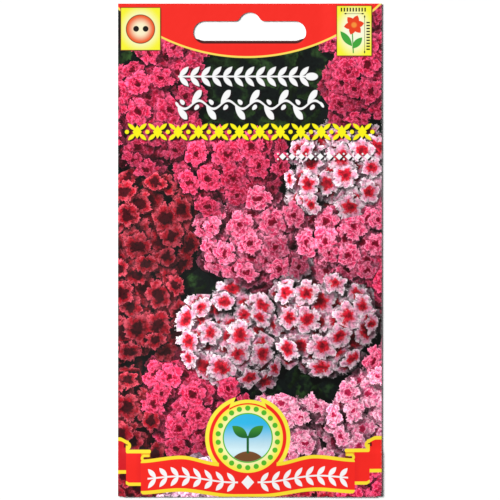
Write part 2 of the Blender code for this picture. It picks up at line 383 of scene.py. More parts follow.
class Value:
    """An output of a material's node, so that maths on it reads as plain sums."""

    __add__ = operator("ADD")
    __radd__ = operator("ADD", reflected=True)
    __sub__ = operator("SUBTRACT")
    __rsub__ = operator("SUBTRACT", reflected=True)
    __mul__ = operator("MULTIPLY")
    __rmul__ = operator("MULTIPLY", reflected=True)
    __truediv__ = operator("DIVIDE")
    __pow__ = operator("POWER")
    __abs__ = operator("ABSOLUTE")
    __lt__ = operator("LESS_THAN")
    __gt__ = operator("GREATER_THAN")
    sin = operator("SINE")
    cos = operator("COSINE")
    root = operator("SQRT")
    least = operator("MINIMUM")
    most = operator("MAXIMUM")

    def __init__(self, ink, socket):
        self.ink = ink
        self.socket = socket

    def __neg__(self):
        return self * -1.0

    def repeated(self, pitch, start):
        """The same value counted afresh every pitch, from start pitches before each middle."""
        return (self.ink.maths("FRACT", self / pitch) - start) * pitch

    def soft(self, foot, head):
        """0 at the foot, 1 at the head, and a soft S between them."""
        sockets = {"Value": self, "From Min": foot, "From Max": head}
        return self.ink.add("MapRange", {"interpolation_type": "SMOOTHSTEP", "clamp": False}, sockets)[0]


class Ink:
    """A tree of nodes, which are added in the order that the colours are laid on."""

    def __init__(self, tree, material=None):
        self.tree = tree
        self.tree.nodes.clear()
        self.material = material
        self.colour = BLACK  # what is printed so far

    def add(self, kind, settings, sockets):
        """Adds a node from its type, its settings and its sockets' values or links; gives its outputs."""
        node = self.tree.nodes.new("ShaderNode" + kind)
        for setting, choice in settings.items():
            if setting == "stops":
                ramp = node.color_ramp
                while len(ramp.elements) < len(choice):
                    ramp.elements.new(1.0)
                for element, (position, colour) in zip(ramp.elements, choice):
                    element.position = position
                    element.color = colour
                ramp.interpolation = "CONSTANT"
            else:
                setattr(node, setting, choice)
        self.fill(node, sockets)
        return [Value(self, socket) for socket in node.outputs if socket.enabled]

    def fill(self, node, sockets):
        """Sets or links a node's inputs."""
        for name, value in sockets.items():
            if isinstance(value, Value):
                self.tree.links.new(value.socket, node.inputs[name])
            else:
                node.inputs[name].default_value = value

    def stencil(self, name, draw, sockets):
        """Adds a node group that lays one colour on, given its inputs' values or links.

        The draw function makes the group's nodes, from the same inputs, the first time it is used."""
        tree = bpy.data.node_groups.get(name)
        if tree is None:
            tree = bpy.data.node_groups.new(name, "ShaderNodeTree")
            inner = Ink(tree)
            for key in sockets:
                kind = "NodeSocketColor" if key == "under" else "NodeSocketFloat"
                tree.interface.new_socket(key, in_out="INPUT", socket_type=kind)
            tree.interface.new_socket("colour", in_out="OUTPUT", socket_type="NodeSocketColor")
            start = tree.nodes.new("NodeGroupInput")
            inputs = {key: Value(inner, start.outputs[key]) for key in sockets}
            colour = draw(inner, **inputs)
            tree.links.new(colour.socket, tree.nodes.new("NodeGroupOutput").inputs["colour"])
        node = self.tree.nodes.new("ShaderNodeGroup")
        node.node_tree = tree
        self.fill(node, sockets)
        return Value(self, node.outputs["colour"])

    def maths(self, operation, *values):
        """Adds one Math node."""
        return self.add("Math", {"operation": operation}, dict(enumerate(values)))[0]

    def mix(self, share, under, over):
        """One colour over another, by a share from 0 to 1."""
        return self.add("Mix", {"data_type": "RGBA"}, {0: share, 6: under, 7: over})[0]

    def lay(self, over, outside, soft=0.07):
        """Prints a colour over what is there inside a shape, given how far outside it each point is."""
        self.colour = self.mix(outside.soft(soft, -soft), self.colour, over)

    def bump(self, height, strength, distance):
        """A normal for a surface that rises and falls with a height."""
        sockets = {"Height": height, "Strength": strength, "Distance": distance}
        return self.add("Bump", {}, sockets)[0]

    def scaled(self, colour, amount):
        """A colour made darker below 1 or lighter above it, as a mix with black that may run past its end."""
        settings = {"data_type": "RGBA", "clamp_factor": False}
        return self.add("Mix", settings, {0: 1 - amount, 6: colour, 7: BLACK})[0]

    def choice(self, chance, colours):
        """One of several colours, each for an equal stretch of a chance from 0 to 1."""
        stops = [(place / len(colours), colour) for place, colour in enumerate(colours)]
        return self.add("ValToRGB", {"stops": stops}, {"Fac": chance})[0]

    def parts(self, three):
        """The three numbers in a vector or a colour."""
        if three.socket.type == "RGBA":
            return self.add("SeparateColor", {}, {"Color": three})
        return self.add("SeparateXYZ", {}, {"Vector": three})

    def noise(self, place, scale, detail=2.0, roughness=0.5):
        """Cloudy noise from 0 to 1, and three of them as a colour."""
        sockets = {"Vector": place, "Scale": scale, "Detail": detail, "Roughness": roughness}
        return self.add("TexNoise", {"noise_dimensions": "2D"}, sockets)

    def nearest(self, place, pitch, degrees, shift, looseness):
        """The middle of the nearest cell of a turned and loosened square net, and its three chances."""
        net = {
            "Location": (shift, 0.37 * shift, 0.0),
            "Rotation": (0.0, 0.0, math.radians(degrees)),
            "Scale": (1 / pitch, 1 / pitch, 1.0),
        }
        cells = self.add("Mapping", {"vector_type": "POINT"}, {"Vector": place, **net})[0]
        sockets = {"Vector": cells, "Scale": 1.0, "Randomness": looseness}
        _, chance, middle = self.add("TexVoronoi", {"voronoi_dimensions": "2D"}, sockets)
        middle = self.add("Mapping", {"vector_type": "TEXTURE"}, {"Vector": middle, **net})[0]
        return middle, self.parts(chance)

    def finish(self, sockets, normal=None):
        """Closes the material with a Principled shader."""
        if normal is not None:
            sockets = {**sockets, "Normal": normal}
        shader = self.add("BsdfPrincipled", {}, sockets)[0]
        self.add("OutputMaterial", {}, {"Surface": shader})
        return self.material


def new_ink(name):
    """A new material, ready for its nodes."""
    material = bpy.data.materials.new(name)
    material.use_nodes = True
    return Ink(material.node_tree, material)


def length(x, y):
    """Distance of a point from the origin."""
    return (x * x + y * y).root()


def turned(x, y, degrees):
    """Places along and across a direction."""
    cosine = math.cos(math.radians(degrees))
    sine = math.sin(math.radians(degrees))
    return x * cosine + y * sine, y * cosine - x * sine


def box(x, y, left, right, foot, head):
    """How far outside a rectangle a point is, less than 0 inside."""
    wide = abs(x - (left + right) / 2) - (right - left) / 2
    high = abs(y - (foot + head) / 2) - (head - foot) / 2
    return wide.most(high)


def leaf(along, across, long, half_wide):
    """How far outside a leaf with two pointed ends: its half width falls with the square of the way along."""
    return abs(across) + half_wide * ((along * (2 / long)) ** 2.0) - half_wide


def sprig(x, y, degrees, reach, long, half_wide):
    """A leaf that points away from the origin, with its middle this far out."""
    along, across = turned(x, y, degrees)
    return leaf(along - reach, across, long, half_wide)


def stroke(x, y, start, end, half_wide):
    """How far outside a straight line with square ends."""
    middle = ((start[0] + end[0]) / 2, (start[1] + end[1]) / 2)
    run = (end[0] - start[0], end[1] - start[1])
    along, across = turned(x - middle[0], y - middle[1], math.degrees(math.atan2(run[1], run[0])))
    return (abs(along) - math.hypot(*run) / 2).most(abs(across) - half_wide)


# The flower picture
# A generic full-bleed print behind everything else on the front: round heads of small fringed flowers
# over dark leaves. Chance gives each flower its place, size, colour and fringe.
HEAD_PITCH = 26.0
HEAD_SHIFT = 0.42
HEAD_REACH = 15.6  # flowers grow this far out from a head's middle
FLOWER_PITCH = 7.4
DEEP_GREEN = ink_colour(9, 17, 15)
LEAF_GREEN = ink_colour(70, 112, 52)
FLOWER_KINDS = [  # petals, eye and fringe
    ((214, 26, 70), (120, 4, 30), (250, 96, 140)),
    ((246, 112, 158), (214, 34, 84), (255, 196, 216)),
    ((176, 14, 36), (66, 4, 14), (240, 96, 116)),
    ((246, 160, 192), (222, 30, 52), (255, 244, 249)),
    ((238, 150, 196), (190, 40, 104), (255, 226, 240)),
    ((240, 60, 110), (150, 8, 44), (255, 150, 184)),
]
PETALS, EYES, FRINGES = ([ink_colour(*tint) for tint in tints] for tints in zip(*FLOWER_KINDS))
DARK_HEART = ink_colour(70, 6, 18)
LEAF_PITCH = 9.0
LEAF_LAYERS = [(25, 0.2, 0.3), (75, 0.6, 0.5), (130, 0.9, 0.8)]  # net's turn, its shift, light
FLOWER_LAYERS = [  # net's turn, its shift, flower radius, light
    (11, 3.1, 4.8, 0.36),
    (37, 8.7, 4.7, 0.54),
    (64, 1.9, 4.6, 0.74),
    (23, 5.6, 4.4, 0.92),
    (50, 11.3, 4.3, 1.06),
    (79, 6.4, 4.1, 1.18),
]
PUSH = 3.0  # how far noise crumples the picture
TOP_HEADS = 34.0  # heads above this height are all of the kind that this chance picks
TOP_KIND = 0.08
GAP_FOOT = (31.0, 35.0)  # between these the flowers thin out, and leave a gap with leaves alone
GAP_LEFT = (-17.0, -12.0)
GAP_RIGHT = (26.0, 21.0)


def leaf_cell(ink, x, y, middle_x, middle_y, tint, turn, size, light, under):
    """A long leaf with a darker vein, turned by chance about its cell's middle."""
    angle = turn * 6.0
    dx = x - middle_x
    dy = y - middle_y
    run = dx * angle.cos() + dy * angle.sin()
    aside = dy * angle.cos() - dx * angle.sin()
    outside = leaf(run, aside, 9.5, 1.15)
    vein = 1 - abs(aside).soft(0.3, 0.0) * 0.25
    shade = (aside * 0.3 + 0.5) * vein * (tint * 0.9 + 0.2) * light
    return ink.mix(outside.soft(0.25, -0.25) * (size > 0.25), under, ink.scaled(LEAF_GREEN, shade))


def leaves(ink, place, x, y, under, degrees, shift, light):
    """A layer of long leaves, one in each cell of a turned net."""
    middle, (tint, turn, size) = ink.nearest(place, LEAF_PITCH, degrees, shift, 0.6)
    middle_x, middle_y, _ = ink.parts(middle)
    cell = dict(middle_x=middle_x, middle_y=middle_y, tint=tint, turn=turn, size=size)
    return ink.stencil("leaf", leaf_cell, dict(x=x, y=y, **cell, light=light, under=under))


def flower_cell(
    ink, x, y, blush, middle_x, middle_y, head_x, head_y, sized, spun, fringed, kind, size, light, under
):
    """A flower's edge is a circle pulled in between five petals and cut into fine teeth, and two smaller
    rings of petals sit in a double one. It belongs to the round head that its middle is nearest to: from
    there come its colours, how far it leans outwards, and its share of light from the upper left."""
    out_x = middle_x - head_x
    out_y = middle_y - head_y
    far = length(out_x, out_y) + 0.001
    lean = (far / HEAD_REACH).least(1.0)
    bare = middle_y.soft(*GAP_FOOT) * middle_x.soft(*GAP_LEFT) * middle_x.soft(*GAP_RIGHT)
    grows = (far < HEAD_REACH) * (bare + fringed * 0.15 < 0.6)
    dx = x - middle_x
    dy = y - middle_y
    radial = (dx * out_x + dy * out_y) / far / (1 - 0.42 * lean * lean)
    round_it = (dy * out_x - dx * out_y) / far
    reach = size * (0.76 + 0.42 * sized)
    r = length(radial, round_it) / reach
    angle = ink.maths("ARCTAN2", round_it, radial) + spun * 6.283
    petal = abs((angle * 2.5).cos())
    gap = abs((angle * 2.5).sin())
    teeth = (angle * 31.0 + fringed * 9.0).sin() * 0.035 + (angle * 17.0).sin() * 0.025
    outer = r / (0.66 + 0.3 * petal.root() + teeth)
    inner = r / ((0.7 + 0.26 * gap.root() - teeth) * 0.68)
    core = r / ((0.7 + 0.26 * petal.root() + teeth) * 0.38)
    double = (kind < 1 / 3) + (kind > 2 / 3)
    way = outer + (inner < 1.0) * double * (inner - outer)
    way = way + (core < 1.0) * double * (core - way)
    veins = (angle * 43.0 + r * 6.0).sin()
    eye = (outer + veins * 0.05).soft(0.64, 0.42) * (1 - 0.75 * double * outer.soft(0.2, 0.3))
    fringe = (way + veins * 0.03).soft(0.78, 0.97)
    cup = way * way * (0.66 * double + 0.12) + (0.86 - 0.42 * double)
    side = 1 + (dy - dx) * 0.16 / size + (out_y - out_x) * (0.34 / HEAD_REACH)
    folds = 1 - 0.6 * (1 - petal) ** 2.0 * outer
    ruffles = (angle * 9.0 + way * 8.0 + fringed * 6.0).sin() * 0.16 * outer
    tone = 0.78 + 0.4 * (spun * 7.31).repeated(1.0, 0.0)
    shade = cup * side * folds * (1 + veins * 0.06 + ruffles) * tone * light
    fringes = ink.choice(kind, FRINGES)
    colour = ink.mix(blush.soft(0.42, 0.68) * 0.55, ink.choice(kind, PETALS), fringes)
    colour = ink.mix(eye, colour, ink.choice(kind, EYES))
    colour = ink.mix((outer + veins * 0.04).soft(0.36, 0.1) * (1 - double) * 0.75, colour, DARK_HEART)
    colour = ink.scaled(ink.mix(fringe * 0.75, colour, fringes), shade)
    shadow = length(dx - 0.6, dy + 0.7) / reach
    under = ink.scaled(under, 1 - 0.82 * shadow.soft(1.3, 0.75) * grows)
    return ink.mix(outer.soft(1.04, 0.96) * grows, under, colour)


def flowers(ink, place, x, y, blush, under, degrees, shift, size, light):
    """A layer of small fringed flowers, one in each cell of a turned square net."""
    middle, (sized, spun, fringed) = ink.nearest(place, FLOWER_PITCH, degrees, shift, 0.62)
    head, (kind, _, _) = ink.nearest(middle, HEAD_PITCH, 8, HEAD_SHIFT, 0.55)
    middle_x, middle_y, _ = ink.parts(middle)
    head_x, head_y, _ = ink.parts(head)
    on_top = head_y > TOP_HEADS
    kind = kind * (1 - on_top) + on_top * TOP_KIND
    spots = dict(middle_x=middle_x, middle_y=middle_y, head_x=head_x, head_y=head_y)
    chances = dict(sized=sized, spun=spun, fringed=fringed, kind=kind)
    sockets = dict(x=x, y=y, blush=blush, **spots, **chances, size=size, light=light, under=under)
    return ink.stencil("flower", flower_cell, sockets)


def flower_picture(ink, place):
    """The whole picture, from the ground up, crumpled a little by noise."""
    x, y, _ = ink.parts(place)
    _, push = ink.noise(place, 0.45, 4.0, 0.6)
    push_x, push_y, blush = ink.parts(push)
    patches, _ = ink.noise(place, 0.22, 2.0)
    colour = ink.mix(patches.soft(0.5, 0.8) * 0.4, DEEP_GREEN, LEAF_GREEN)
    x = x + (push_x - 0.5) * PUSH
    y = y + (push_y - 0.5) * PUSH
    for degrees, shift, light in LEAF_LAYERS:
        colour = leaves(ink, place, x, y, colour, degrees, shift, light)
    for degrees, shift, size, light in FLOWER_LAYERS:
        colour = flowers(ink, place, x, y, blush, colour, degrees, shift, size, light)
    crumple, _ = ink.noise(place, 1.1, 3.0, 0.6)
    return ink.scaled(colour, 0.5 + 0.65 * crumple.soft(0.3, 0.56))


# The garlands
# Four printed rows under the header: a white leafy branch, a white vine with berries, a wide yellow row of
# buds and a small white border, each with a dark drop shadow.
ORNAMENT_WHITE = ink_colour(253, 253, 253)
ORNAMENT_YELLOW = ink_colour(255, 246, 20)
DROP = 0.42
DROP_COLOUR = ink_colour(22, 8, 14)
BRANCH_HEIGHT, BRANCH_PITCH = 49.3, 3.1
VINE_HEIGHT, VINE_PITCH = 41.3, 8.2
BUDS_HEIGHT, BUDS_PITCH = 33.6, 5.8
BORDER_HEIGHT, BORDER_PITCH = 26.6, 2.67


def branch(x, y):
    """A straight stem with pairs of leaves, and a bud at its end."""
    y = y - BRANCH_HEIGHT
    pair = sprig((x + 20.3).repeated(BRANCH_PITCH, 0.12), abs(y), 47, 1.9, 3.9, 0.72)
    row = pair.least(abs(y) - 0.24).most(abs(x + 1.7) - 18.6)
    bud = length((x - 17.6) * 0.62, y) - 1.1
    return row.least(bud)


def vine(x, y):
    """A sine wave with a leaf in each of its bends and a berry opposite."""
    wave = y - VINE_HEIGHT - 1.15 * (x * (2 * math.pi / VINE_PITCH)).sin()
    upper = (x + 20.5).repeated(VINE_PITCH, 0.5)
    lower = (x + 20.5 + VINE_PITCH / 2).repeated(VINE_PITCH, 0.5)
    high_leaf = sprig(upper, wave, 48, 2.1, 4.2, 1.05)
    low_leaf = sprig(lower, -wave, 48, 2.1, 4.2, 1.05)
    berries = (length(upper - 1.4, wave + 1.7) - 0.7).least(length(lower - 1.4, wave - 1.7) - 0.7)
    bud = length(abs(x) - 20.5, wave) - 0.6
    return (abs(wave) - 0.34).least(high_leaf).least(low_leaf).least(berries).most(abs(x) - 20.4).least(bud)


def buds(x, y):
    """Diamonds between pairs of leaves, joined by beads."""
    y = y - BUDS_HEIGHT
    place = (x + 34.8).repeated(BUDS_PITCH, 0.5)
    diamond = abs(place) * 1.45 + abs(y) - 1.9
    pair = sprig(abs(place), abs(y), 42, 2.1, 2.9, 0.55)
    bead = length(abs(place) - BUDS_PITCH / 2, y) - 0.6
    return diamond.least(pair).most(abs(x) - 34.9).least(bead.most(abs(x) - 35.4))


def border(x, y):
    """Small diamonds with dots between them."""
    y = y - BORDER_HEIGHT
    place = (x - 8.0).repeated(BORDER_PITCH, 0.5)
    diamond = abs(place) + abs(y) - 0.95
    dots = length(abs(place) - BORDER_PITCH / 2, abs(y) - 0.75) - 0.27
    return diamond.least(dots).most(abs(x - 21.35) - 13.7)


def garlands(ink, x, y):
    """Prints the garlands, each over its own shadow."""
    for shape in (branch, vine, buds, border):
        tint = ORNAMENT_YELLOW if shape is buds else ORNAMENT_WHITE
        ink.lay(DROP_COLOUR, shape(x - DROP, y + DROP), 0.3)
        ink.lay(tint, shape(x, y), 0.1)


# The header
# A red field round the hang slot that ends in a wide arc with a gold line. Two small yellow panels stand
# on it, one with a two-dot sign and one with a flower and its spacing arrows.
HEADER_RED = ink_colour(250, 44, 34)
GOLD = ink_colour(255, 226, 96)
ARC_MIDDLE = (-0.75, 109.83)
ARC_RADIUS = 54.73
GOLD_LINE = 0.56
SIGN_PANEL = (-36.45, -25.42, 56.85, 68.75)  # left, right, foot, head
FLOWER_PANEL = (24.8, 34.5, 55.25, 69.25)
SIGN_MIDDLE = (-30.96, 62.75)
BLOSSOM_MIDDLE = (29.6, 63.9)
TICK_PITCH = 0.84
PANEL_YELLOW = ink_colour(252, 247, 52)
PANEL_PALE = ink_colour(253, 254, 226)
SIGN_RED = ink_colour(243, 92, 36)
SIGN_CREAM = ink_colour(255, 243, 205)
SIGN_BROWN = ink_colour(122, 62, 30)
DARK_INK = ink_colour(28, 20, 18)
# painted shade: the dark red-brown of the slot's foot, where it would lie in shadow
LIP_PAINTED_SHADE = ink_colour(74, 24, 22)
BLOSSOM_RED = ink_colour(238, 66, 30)
BLOSSOM_HEART = ink_colour(250, 150, 60)
STEM_GREEN = ink_colour(66, 168, 60)


def panel(ink, x, y, left, right, foot, head):
    """A yellow label that pales towards its middle, with a dark outline and a shadow to the lower right."""
    shadow = box(x - 0.3, y + 0.3, left, right, foot, head)
    ink.lay(DARK_INK, shadow, 0.28)
    ink.lay(SIGN_BROWN, box(x, y, left, right, foot, head) - 0.2, 0.12)
    middle_x = (left + right) / 2
    middle_y = (foot + head) / 2
    way = length((x - middle_x) / (right - left), (y - middle_y) / (head - foot))
    yellow = ink.mix(way.soft(0.2, 0.6), PANEL_PALE, PANEL_YELLOW)
    ink.lay(yellow, box(x, y, left, right, foot, head))


def dotted_sign(ink, x, y):
    """A round sign with two dots side by side."""
    x = x - SIGN_MIDDLE[0]
    y = y - SIGN_MIDDLE[1]
    away = length(x, y)
    disc = ink.mix(away.soft(1.2, 3.9), SIGN_CREAM, SIGN_RED)
    ink.lay(SIGN_BROWN, away - 4.15)
    ink.lay(disc, away - 3.92)
    ink.lay(DARK_INK, length(abs(x - 0.11) - 1.35, y - 0.08) - 0.82)


def spaced_flower(ink, x, y):
    """A flower with six pointed petals on a leafy stem, and an arrow and a scale for width and height."""
    stem = stroke(x, y, (29.4, 55.9), (29.1, 62.0), 0.16)
    left_leaf = leaf(*turned(x - 27.4, y - 60.0, -52), 5.4, 0.95)
    right_leaf = leaf(*turned(x - 30.5, y - 58.8, 48), 4.2, 0.95)
    ink.lay(STEM_GREEN, stem.least(left_leaf).least(right_leaf))
    dx = x - BLOSSOM_MIDDLE[0]
    dy = y - BLOSSOM_MIDDLE[1]
    angle = ink.maths("ARCTAN2", dy, dx) + 0.35
    away = length(dx, dy)
    sector = (angle * (3 / math.pi)).repeated(1.0, 0.5) * (math.pi / 3)
    petal = leaf(away * sector.cos() - 1.35, away * sector.sin(), 3.1, 0.95)
    ink.lay(BLOSSOM_RED, petal.least(away - 1.1))
    ink.lay(BLOSSOM_HEART, away - 0.75, 0.3)
    width_line = stroke(x, y, (26.9, 67.1), (32.3, 67.1), 0.06)
    height_line = stroke(x, y, (32.6, 55.9), (32.6, 66.6), 0.06)
    width_heads = abs(y - 67.1) * 2.2 + abs(abs(x - 29.6) - 2.4) - 0.5
    height_heads = abs(x - 32.6) * 2.2 + abs(abs(y - 61.25) - 5.0) - 0.5
    arrows = width_line.least(height_line).least(width_heads).least(height_heads)
    width_ticks = (abs((x - 25.6).repeated(TICK_PITCH, 0.5)) - 0.2).most(box(x, y, 25.6, 33.2, 67.7, 68.8))
    height_ticks = (abs((y - 56.6).repeated(TICK_PITCH, 0.5)) - 0.2).most(box(x, y, 33.1, 34.1, 56.6, 65.0))
    ink.lay(DARK_INK, arrows.least(width_ticks).least(height_ticks))


def rounded(x, y, left, right, foot, head, radius):
    """How far outside a rectangle with round corners."""
    wide = abs(x - (left + right) / 2) - (right - left) / 2 + radius
    high = abs(y - (foot + head) / 2) - (head - foot) / 2 + radius
    return length(wide.most(0.0), high.most(0.0)) + wide.most(high).least(0.0) - radius


def arched(ink, x, y):
    """The red field that ends in a gold line, as a circle whose middle is far above the packet."""
    drop = length(x - ARC_MIDDLE[0], y - ARC_MIDDLE[1]) - ARC_RADIUS
    ink.lay(GOLD, drop - GOLD_LINE)
    ink.lay(HEADER_RED, drop)


def header(ink, x, y):
    """The red field, painted shade on the lip under the slot, and the two panels."""
    arched(ink, x, y)
    # Painted shade: a dark band along the lip under the slot, standing in for the shadow at the slot's foot.
    lip = rounded(x, y, -16.0, 16.0, 58.62, 65.0, 3.2).most(y - 61.6)
    ink.lay(LIP_PAINTED_SHADE, lip, 0.16)
    panel(ink, x, y, *SIGN_PANEL)
    dotted_sign(ink, x, y)
    panel(ink, x, y, *FLOWER_PANEL)
    spaced_flower(ink, x, y)


# The foot of the front
# A red ribbon with yellow edges, folded back behind itself twice at each end, and a round badge with a
# seedling standing on it. The ribbon carries a white garland.
RIBBON_RED = ink_colour(250, 40, 32)
RIBBON_DEEP = ink_colour(214, 24, 34)
RIBBON_YELLOW = ink_colour(255, 228, 52)
RIBBON_ORANGE = ink_colour(236, 158, 34)
RIBBON_SHADE = ink_colour(110, 10, 22)
BADGE_YELLOW = ink_colour(255, 242, 70)
BADGE_PALE = ink_colour(255, 252, 190)
BADGE_GREEN = ink_colour(88, 190, 44)
SKY = ink_colour(52, 190, 240)
SKY_PALE = ink_colour(214, 242, 250)
SEEDLING = ink_colour(64, 150, 52)
SEEDLING_DARK = ink_colour(28, 98, 44)
MOUND = ink_colour(120, 78, 44)
RIBBON_LEFT = 0.53  # the foot's print sits this far left of the front's middle, turned and raised a little
RIBBON_TURN = 0.0057
RIBBON_RAISE = 0.27
RIBBON_CUT = 0.43  # each end of the ribbon is this much nearer the middle
BAND_FOOT = -69.9
BAND_TOP = -60.9
BAND_CORNER = 0.9
TAIL_TOP = -53.6
TAIL_FOOT = -62.9
SECOND_FOOT = -66.4
BADGE_HEIGHT = -53.35
RIM_RADIUS = 12.06
RIM_TOP_RADIUS = 10.86
GROUND_RADIUS = 10.95
DISC_RADIUS = 9.95
SKY_RADIUS = 6.75
SKY_RIM = 0.35
BEADS = 22
BEAD_RING = 8.45
BEAD_RADIUS = 0.74
BEAD_PITCH = 2.4  # from one bead to the next


def ribbon_foot(out):
    """Height of the front band's lower edge, which rises to a low crest 20 mm out and dips again."""
    return 1.8 * out.soft(4.0, 20.0) - 0.75 * out.soft(20.0, 31.0) + BAND_FOOT


def tail(ink, x, out, y):
    """The hindmost length: its end leaves the packet at the side, and it curls forwards at the other."""
    top = TAIL_TOP - out.soft(36.8, 34.2)
    red = ink.mix(x.soft(-30.0, 30.0), RIBBON_DEEP, RIBBON_RED)
    ink.lay(red, (y - top).most(TAIL_FOOT - y).most(34.6 - out))
    ink.lay(RIBBON_YELLOW, (abs(y - top) - 0.52).most(34.2 - out))
    ink.lay(RIBBON_YELLOW, (abs(y - TAIL_FOOT) - 0.5).most(34.6 - out))
    curl = (abs(length(out - 34.8, y + 55.5) - 0.85) - 0.42).most(out - 35.0)
    ink.lay(RIBBON_SHADE, box(out, y, 34.2, 35.6, -56.0, -54.9))
    ink.lay(RIBBON_YELLOW, curl)


def second_length(ink, out, y):
    """The middle length: from the tail's curl to its own, over the front band's end."""
    red = ink.mix(out.soft(32.6, 30.7) * 0.3, RIBBON_RED, RIBBON_DEEP)
    ink.lay(red, box(out, y, 30.0, 34.95, SECOND_FOOT, -57.0))
    foot = 0.45 * out.soft(34.0, 35.0) + SECOND_FOOT
    ink.lay(RIBBON_YELLOW, (abs(y - foot) - 0.47).most(abs(out - 32.85) - 2.15))
    ink.lay(RIBBON_YELLOW, box(out, y, 34.25, 35.0, -57.2, -55.4))
    ink.lay(RIBBON_ORANGE, box(out, y, 28.1, 30.6, -58.7, -57.0))
    ink.lay(RIBBON_YELLOW, rounded(out, y, 27.9, 34.95, -57.62, -56.6, 0.4))
    ink.lay(RIBBON_YELLOW, rounded(out, y, 28.3, 30.3, -58.7, -57.98, 0.3))
    ink.lay(RIBBON_SHADE, box(out, y, 27.9, 30.7, -59.6, -58.8))


def front_band(ink, out, y):
    """The front band, with a wavy upper and lower edge, and the curl that joins it to the middle length."""
    top = 2.1 * out.soft(8.0, 19.4) - 1.1 * out.soft(19.4, 31.0) + BAND_TOP
    foot = ribbon_foot(out)
    high = (foot + 0.4 - y).most(y - top + 0.4).most(0.0)
    band = length((out - 29.85).most(0.0), high) - BAND_CORNER
    ink.lay(RIBBON_RED, band)
    edges = (top - 0.5 - y).most(8.6 - out).least(y - foot - 0.52)
    ink.lay(RIBBON_YELLOW, edges.most(band))
    curl = (abs(length(out - 29.6, (y + 59.05) * 1.1) - 0.8) - 0.38).most(29.6 - out)
    ink.lay(RIBBON_YELLOW, curl)


def ribbon_garland(x, y):
    """A stem with bold leaves to both sides of a diamond, along the band."""
    out = abs(x)
    y = y - ribbon_foot(out) - 3.9
    pair = sprig(out.repeated(3.2, 0.12), abs(y), 50, 1.8, 3.5, 0.66)
    row = pair.least(abs(y) - 0.24).most(abs(out - 15.6) - 12.8)
    return row.least(out + abs(y) * 0.9 - 1.8)


def badge_back(ink, x, y):
    """The badge's yellow rim and red ground: two arms round a disc, which end on both sides of its top."""
    away = length(x, y - BADGE_HEIGHT)
    arm_end = 9.4 - away * 0.5 - abs(x)
    rim = (away - RIM_RADIUS).most(arm_end).least(away - RIM_TOP_RADIUS)
    ink.lay(BADGE_YELLOW, rim)
    ink.lay(RIBBON_RED, (away - GROUND_RADIUS).most(arm_end + 0.9))


def badge_front(ink, x, y):
    """A yellow disc with green beads, and in it a seedling on its mound under a blue sky."""
    y = y - BADGE_HEIGHT
    away = length(x, y)
    yellow = ink.mix(away.soft(6.5, 9.8), BADGE_PALE, BADGE_YELLOW)
    ink.lay(yellow, away - DISC_RADIUS)
    top_line = (abs(away - 9.68) - 0.2).most(abs(x) - 5.2).most(-y)
    ink.lay(RIBBON_RED, top_line)
    angle = ink.maths("ARCTAN2", y, x)
    sector = (angle * (BEADS / (2 * math.pi))).repeated(1.0, 0.5)
    beads = length(sector * BEAD_PITCH, away - BEAD_RING) - BEAD_RADIUS
    ink.lay(BADGE_GREEN, beads)
    ink.lay(BADGE_GREEN, away - (SKY_RADIUS + SKY_RIM))
    sky = ink.mix(y.soft(4.5, -4.0), SKY, SKY_PALE)
    ink.lay(sky, away - SKY_RADIUS)
    mound = length(x, y + 9.4) - 5.6
    ink.lay(MOUND, mound.most(away - SKY_RADIUS))
    stem = stroke(x, y, (0.0, -4.4), (0.0, 0.6), 0.34)
    left_leaf = leaf(*turned(x + 2.2, y - 1.7, 142), 5.6, 1.35)
    right_leaf = leaf(*turned(x - 2.2, y - 1.7, 38), 5.6, 1.35)
    seed_leaves = left_leaf.least(right_leaf)
    ink.lay(SEEDLING_DARK, stem)
    green = ink.mix(y.soft(-0.5, 4.0), SEEDLING_DARK, SEEDLING)
    ink.lay(green, seed_leaves)


def front_print(ink, place):
    """Everything on the front, from the picture to the badge."""
    ink.colour = flower_picture(ink, place)
    x, y, _ = ink.parts(place)
    garlands(ink, x, y)
    header(ink, x, y)
    x = x + RIBBON_LEFT
    y = y - x * RIBBON_TURN - RIBBON_RAISE
    badge_back(ink, x, y)
    out = abs(x) + RIBBON_CUT
    tail(ink, x, out, y)
    second_length(ink, out, y)
    front_band(ink, out, y)
    ink.lay(ORNAMENT_WHITE, ribbon_garland(x, y))
    badge_front(ink, x, y)


# The back's print
# The photograph does not show the back, so it is a plain guess in the front's colours: the red header, and
# under it a green frame on white with a sowing picture, a bar of twelve months, ruled lines and a bare plate.
BACK_WHITE = ink_colour(251, 251, 247)
FRAME_GREEN = ink_colour(58, 140, 62)
SOIL_BROWN = ink_colour(126, 86, 52)
RULE_GREY = ink_colour(176, 178, 174)
FRAME = (-34.0, 34.0, -56.0, 47.0)  # left, right, foot, head
PICTURE = (-30.0, 30.0, 8.0, 42.0)
PLATE = (2.0, 30.0, -53.0, -38.0)
SOIL_TOP = 17.0
SEEDLING_PITCH = 10.0
MONTH_PITCH = 5.0
RULE_PITCH = 3.4


def sowing_picture(ink, x, y):
    """Soil with a row of seeds, and six seedlings above it, each taller than the one before."""
    ink.lay(PANEL_PALE, rounded(x, y, *PICTURE, 2.0))
    soil = rounded(x, y, *PICTURE[:3], SOIL_TOP + 1.0, 2.0)
    soil = soil.most(y - SOIL_TOP + 0.3 * (x * 1.7).sin())
    ink.lay(SOIL_BROWN, soil)
    place = x.repeated(SEEDLING_PITCH, 0.5)
    tall = 4.0 + (x + 30.0 - place) * 0.26
    inside = abs(x) - 29.0
    ink.lay(PANEL_PALE, (length(place * 0.7, y - 13.0) - 0.8).most(inside), 0.15)
    stem = (abs(place) - 0.3).most(SOIL_TOP - y).most(y - SOIL_TOP - tall)
    top_pair = sprig(abs(place), y - SOIL_TOP - tall * 0.9, 36, 2.1, 4.4, 0.95)
    low_pair = sprig(abs(place), y - SOIL_TOP - tall * 0.45, 30, 1.7, 3.5, 0.75)
    plants = stem.least(top_pair).least(low_pair).most(inside)
    ink.lay(FRAME_GREEN, plants)


